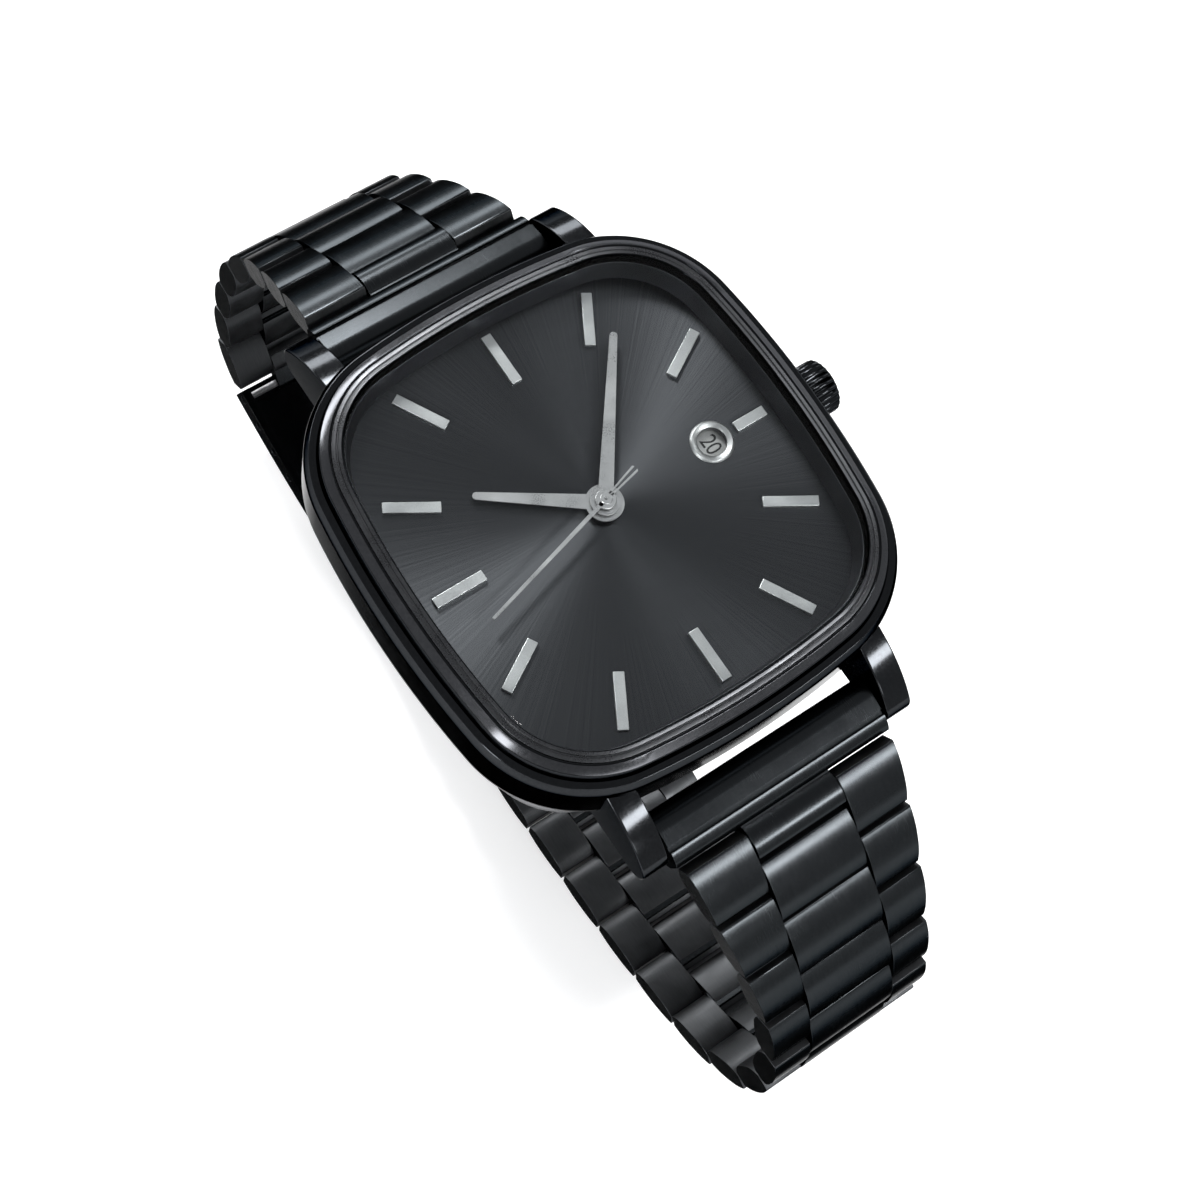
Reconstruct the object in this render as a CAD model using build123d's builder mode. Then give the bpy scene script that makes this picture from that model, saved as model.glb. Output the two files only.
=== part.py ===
from build123d import *
import os
from math import asin, atan2, cos, degrees, hypot, radians, sin, sqrt

# Square quartz wristwatch with a date, on a three-column steel link bracelet
# that is closed by a folding clasp.
# Millimetres. +Z points out of the dial, +X to 3 o'clock, +Y to 12 o'clock.
# The origin is the centre of the case back's outer face, behind the hands.

# Case outline: two side arcs and two end arcs, joined by corner arcs.
case_half_width = 19.25
case_half_height = 20.05
side_radius = 82.0
end_radius = 75.0
corner_radius = 10.6

# Heights of the case, up from the case back's outer face.
case_back_thickness = 1.0
mid_case_height = 7.35
bezel_height = 1.5
dial_depth = 1.15
dial_thickness = 0.5

# How far the mid-case wall stands in from the outline at its foot and its
# shoulder, and out from it between them, with those heights as shares.
foot_inset = 0.9
belly_swell = 0.1
shoulder_inset = 0.3
neck_height = 0.65
belly_low_share = 0.32
belly_high_share = 0.94
case_wall = 2.4
cavity_corner = 8.2

# Bezel section, as distances in from the case outline.
bezel_foot_inset = 0.8
bezel_flank_inset = 1.05
bezel_ring_inset = 1.75
bezel_bore_inset = 2.68
bezel_flank_rise_share = 0.5
bezel_ring_rise_share = 0.82

# Crystal, and the slope of the mid-case between it and the dial.
crystal_thickness = 0.9
rehaut_top_inset = 2.95
rehaut_foot_inset = 3.39
seat_clearance = 0.05

# Case back: a plate that snaps into the cavity, with a notch to lift it.
back_overlap = 0.35
back_corner = 7.0
lift_notch_width = 3.0
lift_notch_depth = 0.35
lift_notch_reach = 0.6

# Flat sides of small pins, shafts and the holes that take them.
small_sides = 8

# Lugs and the spring bars between them, with their reach past the case's end.
lug_side_gap = 0.25
lug_width = 2.3
lug_root_depth = 3.55
lug_shoulder_depth = 1.45
lug_reach = 4.45
lug_top_z = 7.0
lug_tip_z = 3.9
lug_nose_z = 2.3
lug_under_z = 1.15
lug_arch = 0.45
spring_bar_reach = 2.15
spring_bar_z = 2.6
spring_bar_radius = 0.7
spring_tip_radius = 0.4
spring_tip_length = 1.0
running_clearance = 0.05

# Dial furniture. Margins run in from the case outline to the markers' ends.
hours = 12
marker_width = 0.86
marker_height = 0.35
end_marker_margin = 3.95
end_marker_length = 4.45
side_marker_margin = 4.13
side_marker_length = 4.35
date_marker_length = 2.8
upper_marker_margin = 4.83
upper_marker_length = 4.46
lower_marker_margin = 4.91
lower_marker_length = 4.38
date_window_gap = 0.39
date_window_radius = 1.18
date_frame_radius = 1.78
date_frame_height = 0.2
dial_centre_hole = 1.1

# Hands: lengths are shares of the way from the centre to the side markers'
# ends, and rest angles run clockwise from 12 o'clock.
hand_thickness = 0.14
hour_hand_share = 0.655
minute_hand_share = 0.926
second_hand_share = 0.853
second_tail_share = 0.2315
hour_hand_width = 1.3
minute_hand_width = 1.2
hand_tip_width = 0.6
second_hand_width = 0.34
second_tip_width = 0.24
second_tail_width = 0.62
hour_hand_lift = 0.5
hand_seat_depth = 0.9
hand_spacing = 0.36
hour_boss_radius = 1.5
minute_boss_radius = 1.15
second_boss_radius = 0.8
second_arbor_radius = 0.15
minute_pipe_radius = 0.45
hour_pipe_radius = 0.8
hour_rest_angle = -55.8
minute_rest_angle = 37.2
second_rest_angle = -105.5

# Crown, its tube and the winding stem.
crown_radius = 2.25
crown_length = 2.1
crown_dome = 0.3
crown_dome_taper = 60
crown_tube_cover = 0.9
crown_flute_count = 24
crown_flute_depth = 0.2
crown_base_gap = 0.3
stem_radius = 0.45
stem_depth = 9.2
stem_z = 4.95
tube_outer_radius = 1.1
tube_inner_radius = 0.6

# Movement in its holder, and the date disc.
holder_gap = 1.45
movement_corner = 7.0
movement_clearance = 0.1
date_disc_outer_margin = 1.75
date_disc_inner_margin = 1.85
date_disc_thickness = 0.2
days = 31

# Bracelet links: three columns, the centre one set on by half a pitch.
link_spacing = 5.55
link_gap = 0.25
link_edge = 0.95
link_crown = 1.4
link_bevel_share = 0.25
link_under = 1.15
link_hip = 0.2
link_slant = 0.36
centre_width = 8.2
column_clearance = 0.1
groove_floor = 0.6
end_link_width = 20.0
clasp_width = 15.5
taper_shares = (1.0, 0.86, 0.6, 0.3, 0.06, 0.0)
link_pin_radius = 0.5

# End links, which turn on the spring bars between the lugs.
end_link_reach = 4.4
end_link_nose = 1.65
end_link_groove = 1.15
end_link_groove_width = 0.45
end_link_groove_depth = 0.3

# Slopes of the end link and of each link after it, in degrees below level.
shoulder_slopes = (15, 38, 45, 54, 66)
short_slopes = shoulder_slopes + (79, 86, 98, 124)
long_slopes = shoulder_slopes + (83, 104, 127, 149, 162, 169, 173, 176, 179)

# Folding clasp, curved about one axis. Lifts are measured out from the line of
# the pivots, and setbacks along that line.
clasp_radius = 65.0
clasp_wall = 0.8
clasp_wall_lift = -1.0
cover_bottom_lift = 1.0
cover_top_lift = 1.6
cover_margin = 0.8
blade_half_width = 6.9
blade_thickness = 0.6
outer_blade_lift = -0.1
inner_blade_lift = -1.1
hinge_lift = 0.2
hinge_setback = 2.6
hinge_barrel_radius = 0.5
hinge_pin_radius = 0.25
fold_lift = -0.3
fold_position = 12.0
fold_barrel_radius = 0.8
fold_pin_radius = 0.35
knuckle_half_width = 2.9
knuckle_gap = 0.15
ear_radius = 0.7
tongue_half_thickness = 0.65
clasp_bar_radius = 0.35
adjust_hole_count = 4
adjust_hole_spacing = 2.8

cut_overrun = 1.0

# Derived places and sizes.
cavity_width = 2 * (case_half_width - case_wall)
cavity_height = 2 * (case_half_height - case_wall)
back_plate_width = cavity_width + 2 * back_overlap
back_plate_height = cavity_height + 2 * back_overlap
movement_width = cavity_width - 2 * holder_gap
movement_height = cavity_height - 2 * holder_gap
lug_gap = end_link_width + 2 * lug_side_gap
lug_root_y = case_half_height - lug_root_depth
lug_shoulder_y = case_half_height - lug_shoulder_depth
lug_tip_y = case_half_height + lug_reach
spring_bar_y = case_half_height + spring_bar_reach
hour_angle = 360 / hours
end_marker_end = case_half_height - end_marker_margin
upper_marker_end = (case_half_height - upper_marker_margin) / cos(radians(hour_angle))
lower_marker_end = (case_half_width - lower_marker_margin) / cos(radians(hour_angle))
side_marker_end = case_half_width - side_marker_margin
date_window_x = side_marker_end - date_marker_length - date_window_gap - date_frame_radius
date_disc_outer = date_window_x + date_disc_outer_margin
date_disc_inner = date_window_x - date_disc_inner_margin
hour_hand_length = side_marker_end * hour_hand_share
minute_hand_length = side_marker_end * minute_hand_share
second_hand_length = side_marker_end * second_hand_share
second_tail_length = side_marker_end * second_tail_share
stem_inner_x = movement_width / 2 - stem_depth
ledge_z = case_back_thickness + mid_case_height
bezel_top_z = ledge_z + bezel_height
neck_z = ledge_z + neck_height
crystal_inset = bezel_bore_inset + seat_clearance
dial_z = ledge_z - dial_depth
dial_under_z = dial_z - dial_thickness

# Derived corner centre of the outline: it touches a side arc and an end arc.
side_centre_x = case_half_width - side_radius
end_centre_y = case_half_height - end_radius
corner_to_side = side_radius - corner_radius
corner_to_end = end_radius - corner_radius
centre_spacing = hypot(side_centre_x, end_centre_y)
along_spacing = (corner_to_side**2 - corner_to_end**2 + centre_spacing**2) / (2 * centre_spacing)
off_spacing = sqrt(corner_to_side**2 - along_spacing**2)
corner_x = side_centre_x - (side_centre_x * along_spacing + end_centre_y * off_spacing) / centre_spacing
corner_y = (end_centre_y * along_spacing - side_centre_x * off_spacing) / centre_spacing
side_turn = degrees(atan2(corner_y, corner_x - side_centre_x))
end_turn = degrees(atan2(corner_x, corner_y - end_centre_y))
corner_turn = 90 - side_turn - end_turn

os.makedirs("parts", exist_ok=True)


def save(part, name):
    """Label a finished piece and write it under that name."""
    part.label = name
    export_step(part, f"parts/{name}.step")


def case_outline(inset):
    """The rounded square of the case, drawn in by inset, as a face at level zero."""
    with BuildSketch() as outline:
        with BuildLine():
            side = JernArc((case_half_width - inset, 0), (0, 1), side_radius - inset, side_turn)
            corner = JernArc(side @ 1, side % 1, corner_radius - inset, corner_turn)
            JernArc(corner @ 1, corner % 1, end_radius - inset, end_turn)
            mirror(about=Plane.YZ)
            mirror(about=Plane.XZ)
        make_face()
    return outline.sketch


def at_height(face, height):
    """A level face moved up to a height."""
    return Plane.XY.offset(height) * face


def bar_plane(y, z, slope, side):
    """Plane across the bracelet at a pivot: local x runs along the strand, local y outwards."""
    along = (0, side * cos(radians(slope)), -sin(radians(slope)))
    return Plane(origin=(0, y, z), x_dir=along, z_dir=(side, 0, 0))


def small_round(radius, plane, places=((0, 0),)):
    """Pins or shafts with flat sides, which fit inside their radius."""
    with BuildSketch(plane) as pin:
        with Locations(*places):
            RegularPolygon(radius, small_sides)
    return pin.sketch


def small_bore(radius, plane, places=((0, 0),)):
    """Holes with flat sides, which a shaft of that radius passes through."""
    with BuildSketch(plane) as bore:
        with Locations(*places):
            RegularPolygon(radius, small_sides, major_radius=False)
    return bore.sketch


# Mid-case: a swelling wall with four lugs. Inside it is a cavity that is open
# at the back, and above the dial's seat a slope that opens to the crystal.
crown_plane = Plane(origin=(0, 0, stem_z), x_dir=(0, 1, 0), z_dir=(1, 0, 0))
with BuildPart() as mid_case:
    wall_sections = (
        (case_back_thickness, foot_inset),
        (case_back_thickness + mid_case_height * belly_low_share, -belly_swell),
        (case_back_thickness + mid_case_height * belly_high_share, -belly_swell),
        (ledge_z, shoulder_inset),
    )
    loft([at_height(case_outline(inset), height).face() for height, inset in wall_sections], ruled=True)
    extrude(at_height(case_outline(crystal_inset), ledge_z), amount=neck_height)
    lug_plane = Plane.YZ.offset(lug_gap / 2)
    with BuildSketch(lug_plane):
        with BuildLine():
            lug_top = ThreePointArc(
                (lug_shoulder_y, lug_top_z),
                ((lug_shoulder_y + lug_tip_y) / 2, (lug_top_z + lug_tip_z) / 2 + lug_arch),
                (lug_tip_y - lug_arch, lug_tip_z),
            )
            lug_nose = ThreePointArc(
                lug_top @ 1,
                (lug_tip_y, lug_nose_z),
                (lug_tip_y - lug_width / 2, lug_under_z),
            )
            Polyline(
                lug_nose @ 1,
                (lug_root_y, lug_under_z),
                (lug_root_y, lug_top_z),
                lug_top @ 0,
            )
        make_face()
    extrude(amount=lug_width)
    extrude(
        small_bore(spring_tip_radius + running_clearance, lug_plane, [(spring_bar_y, spring_bar_z)]),
        amount=spring_tip_length + running_clearance,
        mode=Mode.SUBTRACT,
    )
    mirror(about=Plane.YZ)
    mirror(about=Plane.XZ)
    with BuildSketch(Plane.XY.offset(case_back_thickness)):
        RectangleRounded(cavity_width, cavity_height, cavity_corner)
    extrude(amount=dial_z - case_back_thickness, mode=Mode.SUBTRACT)
    loft(
        [
            at_height(case_outline(rehaut_foot_inset), dial_z).face(),
            at_height(case_outline(rehaut_top_inset), neck_z).face(),
        ],
        ruled=True,
        mode=Mode.SUBTRACT,
    )
    extrude(
        small_bore(tube_outer_radius + seat_clearance, crown_plane),
        amount=case_half_width + cut_overrun,
        mode=Mode.SUBTRACT,
    )
save(mid_case.part, "mid_case")

# Bezel: a steep flank, a sloping face and a satin ring that drops to the crystal.
with BuildPart() as bezel:
    bezel_sections = (
        (ledge_z, bezel_foot_inset),
        (ledge_z + bezel_height * bezel_flank_rise_share, bezel_flank_inset),
        (ledge_z + bezel_height * bezel_ring_rise_share, bezel_ring_inset),
        (bezel_top_z, bezel_bore_inset),
    )
    loft([at_height(case_outline(inset), height).face() for height, inset in bezel_sections], ruled=True)
    extrude(
        at_height(case_outline(bezel_bore_inset), ledge_z - cut_overrun),
        amount=bezel_height + 2 * cut_overrun,
        mode=Mode.SUBTRACT,
    )
save(bezel.part, "bezel")

# Crystal: a flat pane inside the bezel that rests on the mid-case's neck.
with BuildPart() as crystal:
    extrude(at_height(case_outline(crystal_inset), neck_z), amount=crystal_thickness)
save(crystal.part, "crystal")

# Dial plate with its centre hole and the date aperture.
with BuildPart() as dial:
    with BuildSketch(Plane.XY.offset(dial_under_z)):
        RectangleRounded(
            cavity_width - 2 * seat_clearance,
            cavity_height - 2 * seat_clearance,
            cavity_corner - seat_clearance,
        )
    extrude(amount=dial_thickness)
    with BuildSketch(Plane.XY.offset(dial_under_z)):
        with Locations((date_window_x, 0)):
            Circle(date_window_radius)
    extrude(amount=dial_thickness, mode=Mode.SUBTRACT)
    extrude(
        small_bore(dial_centre_hole, Plane.XY.offset(dial_under_z)),
        amount=dial_thickness,
        mode=Mode.SUBTRACT,
    )
save(dial.part, "dial")

# Applied bar markers in order from 12 o'clock, with the end and length of each.
end_marker = (end_marker_end, end_marker_length)
upper_marker = (upper_marker_end, upper_marker_length)
lower_marker = (lower_marker_end, lower_marker_length)
side_marker = (side_marker_end, side_marker_length)
date_marker = (side_marker_end, date_marker_length)
right_markers = [end_marker, upper_marker, lower_marker, date_marker, lower_marker, upper_marker]
left_markers = [end_marker, upper_marker, lower_marker, side_marker, lower_marker, upper_marker]
markers = right_markers + left_markers
with BuildPart() as hour_markers:
    with BuildSketch(Plane.XY.offset(dial_z)):
        for hour, (marker_end, marker_length) in enumerate(markers):
            bearing = 90 - hour_angle * hour
            with Locations(Rotation(0, 0, bearing)):
                with Locations((marker_end - marker_length / 2, 0)):
                    Rectangle(marker_length, marker_width)
    extrude(amount=marker_height)
save(hour_markers.part, "hour_markers")

# Date frame: a ring round the aperture that slopes in to the date.
with BuildPart() as date_frame:
    with BuildSketch(Plane.XZ):
        with BuildLine():
            Polyline(
                (date_window_radius, dial_z),
                (date_frame_radius, dial_z),
                (date_frame_radius - date_frame_height, dial_z + date_frame_height),
                close=True,
            )
        make_face()
    revolve(axis=Axis.Z)
date_frame_part = Pos(date_window_x, 0, 0) * date_frame.part
save(date_frame_part, "date_frame")

# Case back: the plate that closes the cavity.
with BuildPart() as case_back:
    with BuildSketch():
        RectangleRounded(back_plate_width, back_plate_height, back_corner)
    extrude(amount=case_back_thickness)
    with BuildSketch(Plane.XY.offset(case_back_thickness - lift_notch_depth)):
        with Locations((-back_plate_width / 2, 0)):
            Rectangle(2 * lift_notch_reach, lift_notch_width)
    extrude(amount=lift_notch_depth, mode=Mode.SUBTRACT)
save(case_back.part, "case_back")

# Spring bars: a barrel with two tips that spring into the lugs.
with BuildPart() as spring_bars:
    bar_places = [(spring_bar_y, spring_bar_z), (-spring_bar_y, spring_bar_z)]
    extrude(
        small_round(spring_bar_radius, Plane.YZ, bar_places),
        amount=lug_gap / 2 - running_clearance,
        both=True,
    )
    extrude(
        small_round(spring_tip_radius, Plane.YZ, bar_places),
        amount=lug_gap / 2 + spring_tip_length,
        both=True,
    )
save(spring_bars.part, "spring_bars")


# Hands. Each one sits on its own pipe or arbor, and the pipes nest.
def hand_outline(length, root_width, tip_width, rest_angle):
    """A hand that tapers to a round tip, turned clockwise from 12 o'clock."""
    with BuildSketch() as outline:
        with BuildLine():
            tip_centre = length - tip_width / 2
            right = Line((root_width / 2, 0), (tip_width / 2, tip_centre))
            tip = ThreePointArc(right @ 1, (0, length), (-tip_width / 2, tip_centre))
            left = Line(tip @ 1, (-root_width / 2, 0))
            Line(left @ 1, right @ 0)
        make_face()
    return Rotation(0, 0, -rest_angle) * outline.sketch


hour_hand_z = dial_z + hour_hand_lift
minute_hand_z = hour_hand_z + hand_spacing
second_hand_z = minute_hand_z + hand_spacing
hand_seat_z = dial_under_z - hand_seat_depth
hand_seat = Plane.XY.offset(hand_seat_z)

with BuildPart() as hour_hand:
    hour_outline = hand_outline(hour_hand_length, hour_hand_width, hand_tip_width, hour_rest_angle)
    extrude(at_height(hour_outline, hour_hand_z), amount=hand_thickness)
    with BuildSketch(Plane.XY.offset(hour_hand_z)):
        Circle(hour_boss_radius)
    extrude(amount=hand_thickness)
    extrude(small_round(hour_pipe_radius, hand_seat), amount=hour_hand_z - hand_seat_z)
    extrude(
        small_bore(minute_pipe_radius + running_clearance, hand_seat),
        amount=hour_hand_z + hand_thickness - hand_seat_z,
        mode=Mode.SUBTRACT,
    )
save(hour_hand.part, "hour_hand")

with BuildPart() as minute_hand:
    minute_outline = hand_outline(minute_hand_length, minute_hand_width, hand_tip_width, minute_rest_angle)
    extrude(at_height(minute_outline, minute_hand_z), amount=hand_thickness)
    with BuildSketch(Plane.XY.offset(minute_hand_z)):
        Circle(minute_boss_radius)
    extrude(amount=hand_thickness)
    extrude(small_round(minute_pipe_radius, hand_seat), amount=minute_hand_z - hand_seat_z)
    extrude(
        small_bore(second_arbor_radius + running_clearance, hand_seat),
        amount=minute_hand_z + hand_thickness - hand_seat_z,
        mode=Mode.SUBTRACT,
    )
save(minute_hand.part, "minute_hand")

with BuildPart() as second_hand:
    second_outline = hand_outline(second_hand_length, second_hand_width, second_tip_width, second_rest_angle)
    extrude(at_height(second_outline, second_hand_z), amount=hand_thickness)
    tail_angle = second_rest_angle + 180
    second_tail = hand_outline(second_tail_length, second_hand_width, second_tail_width, tail_angle)
    extrude(at_height(second_tail, second_hand_z), amount=hand_thickness)
    with BuildSketch(Plane.XY.offset(second_hand_z)):
        Circle(second_boss_radius)
    extrude(amount=hand_thickness)
    extrude(small_round(second_arbor_radius, hand_seat), amount=second_hand_z - hand_seat_z)
save(second_hand.part, "second_hand")

# Date disc, a flat ring that turns just under the dial, with a side for each day.
movement_top = dial_under_z - date_disc_thickness - 2 * movement_clearance
with BuildPart() as date_disc:
    with BuildSketch(Plane.XY.offset(movement_top + movement_clearance)):
        RegularPolygon(date_disc_outer, days)
        RegularPolygon(date_disc_inner, days, mode=Mode.SUBTRACT)
    extrude(amount=date_disc_thickness)
save(date_disc.part, "date_disc")

# Movement in its holder: a closed block with a post inside the date disc that
# meets the dial, a centre bore for the hands and a bore for the stem.
movement_bottom = case_back_thickness + movement_clearance
with BuildPart() as movement:
    with BuildSketch(Plane.XY.offset(movement_bottom)):
        RectangleRounded(movement_width, movement_height, movement_corner)
    extrude(amount=movement_top - movement_bottom)
    with BuildSketch(Plane.XY.offset(movement_top)):
        RegularPolygon(date_disc_inner - 2 * movement_clearance, days)
    extrude(amount=dial_under_z - movement_top)
    extrude(
        small_bore(hour_pipe_radius + running_clearance, Plane.XY.offset(hand_seat_z - movement_clearance)),
        amount=dial_under_z - hand_seat_z + movement_clearance,
        mode=Mode.SUBTRACT,
    )
    extrude(
        small_bore(stem_radius + running_clearance, crown_plane.offset(stem_inner_x - movement_clearance)),
        amount=case_half_width,
        mode=Mode.SUBTRACT,
    )
save(movement.part, "movement")

# Crown tube, pressed into the case wall.
crown_base_x = case_half_width + crown_base_gap
tube_inner_x = cavity_width / 2
with BuildPart() as crown_tube:
    extrude(
        small_round(tube_outer_radius, crown_plane.offset(tube_inner_x)),
        amount=crown_base_x + crown_tube_cover - tube_inner_x,
    )
    extrude(
        small_bore(tube_inner_radius, crown_plane.offset(tube_inner_x)),
        amount=crown_base_x + crown_tube_cover - tube_inner_x,
        mode=Mode.SUBTRACT,
    )
save(crown_tube.part, "crown_tube")

# Crown: a fluted, domed knob hollowed to slide over the tube.
flute_turn = 180 / crown_flute_count
flute_points = [
    Vector(crown_radius - crown_flute_depth * (corner % 2), 0).rotate(Axis.Z, flute_turn * corner)
    for corner in range(2 * crown_flute_count)
]
with BuildPart() as crown:
    with BuildSketch(crown_plane.offset(crown_base_x)):
        Polygon(*flute_points, align=None)
    extrude(amount=crown_length)
    with BuildSketch(crown_plane.offset(crown_base_x + crown_length)):
        RegularPolygon(crown_radius - crown_flute_depth, crown_flute_count)
    extrude(amount=crown_dome, taper=crown_dome_taper)
    extrude(
        small_bore(tube_outer_radius + movement_clearance, crown_plane.offset(crown_base_x)),
        amount=crown_tube_cover + movement_clearance,
        mode=Mode.SUBTRACT,
    )
    extrude(
        small_bore(stem_radius + running_clearance, crown_plane.offset(crown_base_x)),
        amount=crown_length - crown_dome + running_clearance,
        mode=Mode.SUBTRACT,
    )
save(crown.part, "crown")

# Winding stem, from the movement to the crown.
with BuildPart() as crown_stem:
    extrude(
        small_round(stem_radius, crown_plane.offset(stem_inner_x)),
        amount=crown_base_x + crown_length - crown_dome - stem_inner_x,
    )
save(crown_stem.part, "crown_stem")


# Bracelet. Each strand is a chain of pivots that starts at its spring bar.
def strand_pivots(slopes):
    """Distance out from the middle and height of each pivot of a strand."""
    out = spring_bar_y
    height = spring_bar_z
    pivots = [(out, height)]
    for slope in slopes:
        step = end_link_reach if len(pivots) == 1 else link_spacing
        out += step * cos(radians(slope))
        height -= step * sin(radians(slope))
        pivots.append((out, height))
    return pivots


def strand_half_width(number):
    """Half the bracelet's width at a pivot: it tapers from the lugs to the clasp."""
    taper_share = taper_shares[min(number, len(taper_shares) - 1)]
    return (clasp_width + (end_link_width - clasp_width) * taper_share) / 2


def column_face(start, end):
    """Side view of one column of a link, from start to end along the strand."""
    bevel = link_bevel_share * (end - start)
    with BuildSketch() as column:
        with BuildLine():
            Polyline(
                (start, link_edge),
                (start + bevel, link_crown),
                (end - bevel, link_crown),
                (end, link_edge),
                (end, link_hip),
                (end - link_slant, -link_under),
                (start + link_slant, -link_under),
                (start, link_hip),
                close=True,
            )
        make_face()
    return column.sketch


def block_face(start, end, bottom, top):
    """Side view of a plain block, from start to end along the strand."""
    with BuildSketch() as block:
        Polygon((start, bottom), (end, bottom), (end, top), (start, top), align=None)
    return block.sketch


def pin_face(position, radius):
    """Side view of a pin at a position along the strand."""
    return small_round(radius, Plane.XY, [(position, 0)])


def hole_face(position, radius):
    """Side view of the hole for a pin at a position along the strand."""
    return small_bore(radius, Plane.XY, [(position, 0)])


centre_half = centre_width / 2
column_inner = centre_half + column_clearance
outer_start = (link_gap - link_spacing / 2) / 2
outer_end = link_spacing * 3 / 4 - link_gap / 2
centre_start = link_spacing / 4 + link_gap / 2
centre_end = link_spacing * 5 / 4 - link_gap / 2
pin_hole_radius = link_pin_radius + running_clearance
clasp_bar_hole_radius = clasp_bar_radius + running_clearance


def make_link(plane, number, last):
    """One link: two outer columns, the centre column half a pitch on, and a pin for the one before."""
    near_half = strand_half_width(number)
    far_half = strand_half_width(number + 1)
    across = Plane(origin=plane.origin, x_dir=plane.x_dir, z_dir=plane.y_dir)
    with BuildPart() as link:
        extrude(plane * column_face(outer_start, outer_end), amount=near_half, both=True)
        with BuildSketch(across.offset(-end_link_width)):
            Polygon(
                (outer_start, -near_half),
                (outer_end, -far_half),
                (outer_end, far_half),
                (outer_start, near_half),
                align=None,
            )
        extrude(amount=2 * end_link_width, mode=Mode.INTERSECT)
        middle_cut = block_face(
            outer_start - cut_overrun,
            outer_end + cut_overrun,
            -end_link_width,
            end_link_width,
        )
        extrude(plane * middle_cut, amount=column_inner, both=True, mode=Mode.SUBTRACT)
        extrude(
            plane * column_face(centre_start, outer_end if last else centre_end),
            amount=centre_half,
            both=True,
        )
        bridge = block_face(
            centre_start + link_slant,
            outer_end - link_slant,
            link_hip - link_under,
            groove_floor,
        )
        extrude(plane * bridge, amount=column_inner, both=True)
        extrude(plane * pin_face(0, link_pin_radius), amount=column_inner, both=True)
        if last:
            tongue = block_face(
                outer_end - link_slant,
                link_spacing,
                -tongue_half_thickness,
                tongue_half_thickness,
            )
            extrude(plane * tongue, amount=centre_half, both=True)
            extrude(plane * pin_face(link_spacing, tongue_half_thickness), amount=centre_half, both=True)
        extrude(
            plane * hole_face(link_spacing, clasp_bar_hole_radius if last else pin_hole_radius),
            amount=centre_half,
            both=True,
            mode=Mode.SUBTRACT,
        )
    return link.part


def make_end_link(plane):
    """The end link: a rounded hood over the spring bar, then columns like a link's."""
    hood_end = end_link_reach - link_spacing / 4 - link_gap / 2
    tongue_end = end_link_reach + link_spacing / 4 - link_gap / 2
    half_width = end_link_width / 2
    with BuildPart() as end_link:
        with BuildSketch() as hood:
            Circle(end_link_nose)
            with BuildLine():
                Polyline(
                    (0, end_link_nose),
                    (end_link_groove + end_link_groove_width, end_link_nose),
                    (hood_end, link_edge),
                    (hood_end, link_hip),
                    (hood_end - link_slant, -link_under),
                    (0, -link_under),
                    close=True,
                )
            make_face()
            with BuildLine():
                Polyline(
                    (end_link_groove, end_link_nose),
                    (end_link_groove + end_link_groove_width, end_link_nose),
                    (end_link_groove + end_link_groove_width, end_link_nose - end_link_groove_depth),
                    (end_link_groove, end_link_nose - end_link_groove_depth),
                    close=True,
                )
            make_face(mode=Mode.SUBTRACT)
            with BuildLine():
                Polyline(
                    (-end_link_nose, -link_under),
                    (end_link_nose, -link_under),
                    (end_link_nose, -2 * end_link_nose),
                    (-end_link_nose, -2 * end_link_nose),
                    close=True,
                )
            make_face(mode=Mode.SUBTRACT)
        extrude(plane * hood.sketch, amount=half_width, both=True)
        extrude(
            plane * block_face(hood_end - link_slant, tongue_end - link_slant, -link_under, link_edge),
            amount=centre_half,
            both=True,
        )
        extrude(
            plane * column_face(tongue_end - (link_spacing - link_gap) / 2, tongue_end),
            amount=centre_half,
            both=True,
        )
        extrude(
            plane * hole_face(end_link_reach, pin_hole_radius),
            amount=centre_half,
            both=True,
            mode=Mode.SUBTRACT,
        )
        extrude(
            plane * hole_face(0, spring_bar_radius + running_clearance),
            amount=half_width,
            both=True,
            mode=Mode.SUBTRACT,
        )
    return end_link.part


short_pivots = strand_pivots(short_slopes)
long_pivots = strand_pivots(long_slopes)
strands = {
    "12": (1, short_pivots, short_slopes),
    "6": (-1, long_pivots, long_slopes),
}
for strand_name, (side, pivots, slopes) in strands.items():
    for number, slope in enumerate(slopes):
        out, height = pivots[number]
        pivot_plane = bar_plane(side * out, height, slope, side)
        if number == 0:
            save(make_end_link(pivot_plane), f"end_link_{strand_name}")
        else:
            link_part = make_link(pivot_plane, number, number == len(slopes) - 1)
            save(link_part, f"link_{strand_name}_{number:02d}")

# Clasp: its line runs on one arc from the short strand's end to the long one's.
cover_pivot_y = short_pivots[-1][0]
cover_pivot_z = short_pivots[-1][1]
free_pivot_y = -long_pivots[-1][0]
free_pivot_z = long_pivots[-1][1]
pivot_span = hypot(free_pivot_y - cover_pivot_y, free_pivot_z - cover_pivot_z)
axis_rise = sqrt(clasp_radius**2 - pivot_span**2 / 4)
axis_y = (cover_pivot_y + free_pivot_y) / 2 + axis_rise * (free_pivot_z - cover_pivot_z) / pivot_span
axis_z = (cover_pivot_z + free_pivot_z) / 2 - axis_rise * (free_pivot_y - cover_pivot_y) / pivot_span
clasp_start_angle = atan2(cover_pivot_z - axis_z, cover_pivot_y - axis_y)
clasp_length = 2 * clasp_radius * asin(pivot_span / 2 / clasp_radius)
hinge_position = clasp_length - hinge_setback


def clasp_point(position, lift):
    """A point of the side view, at a position along the clasp's line and a lift out from it."""
    angle = clasp_start_angle - position / clasp_radius
    return axis_y + (clasp_radius + lift) * cos(angle), axis_z + (clasp_radius + lift) * sin(angle)


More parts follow.
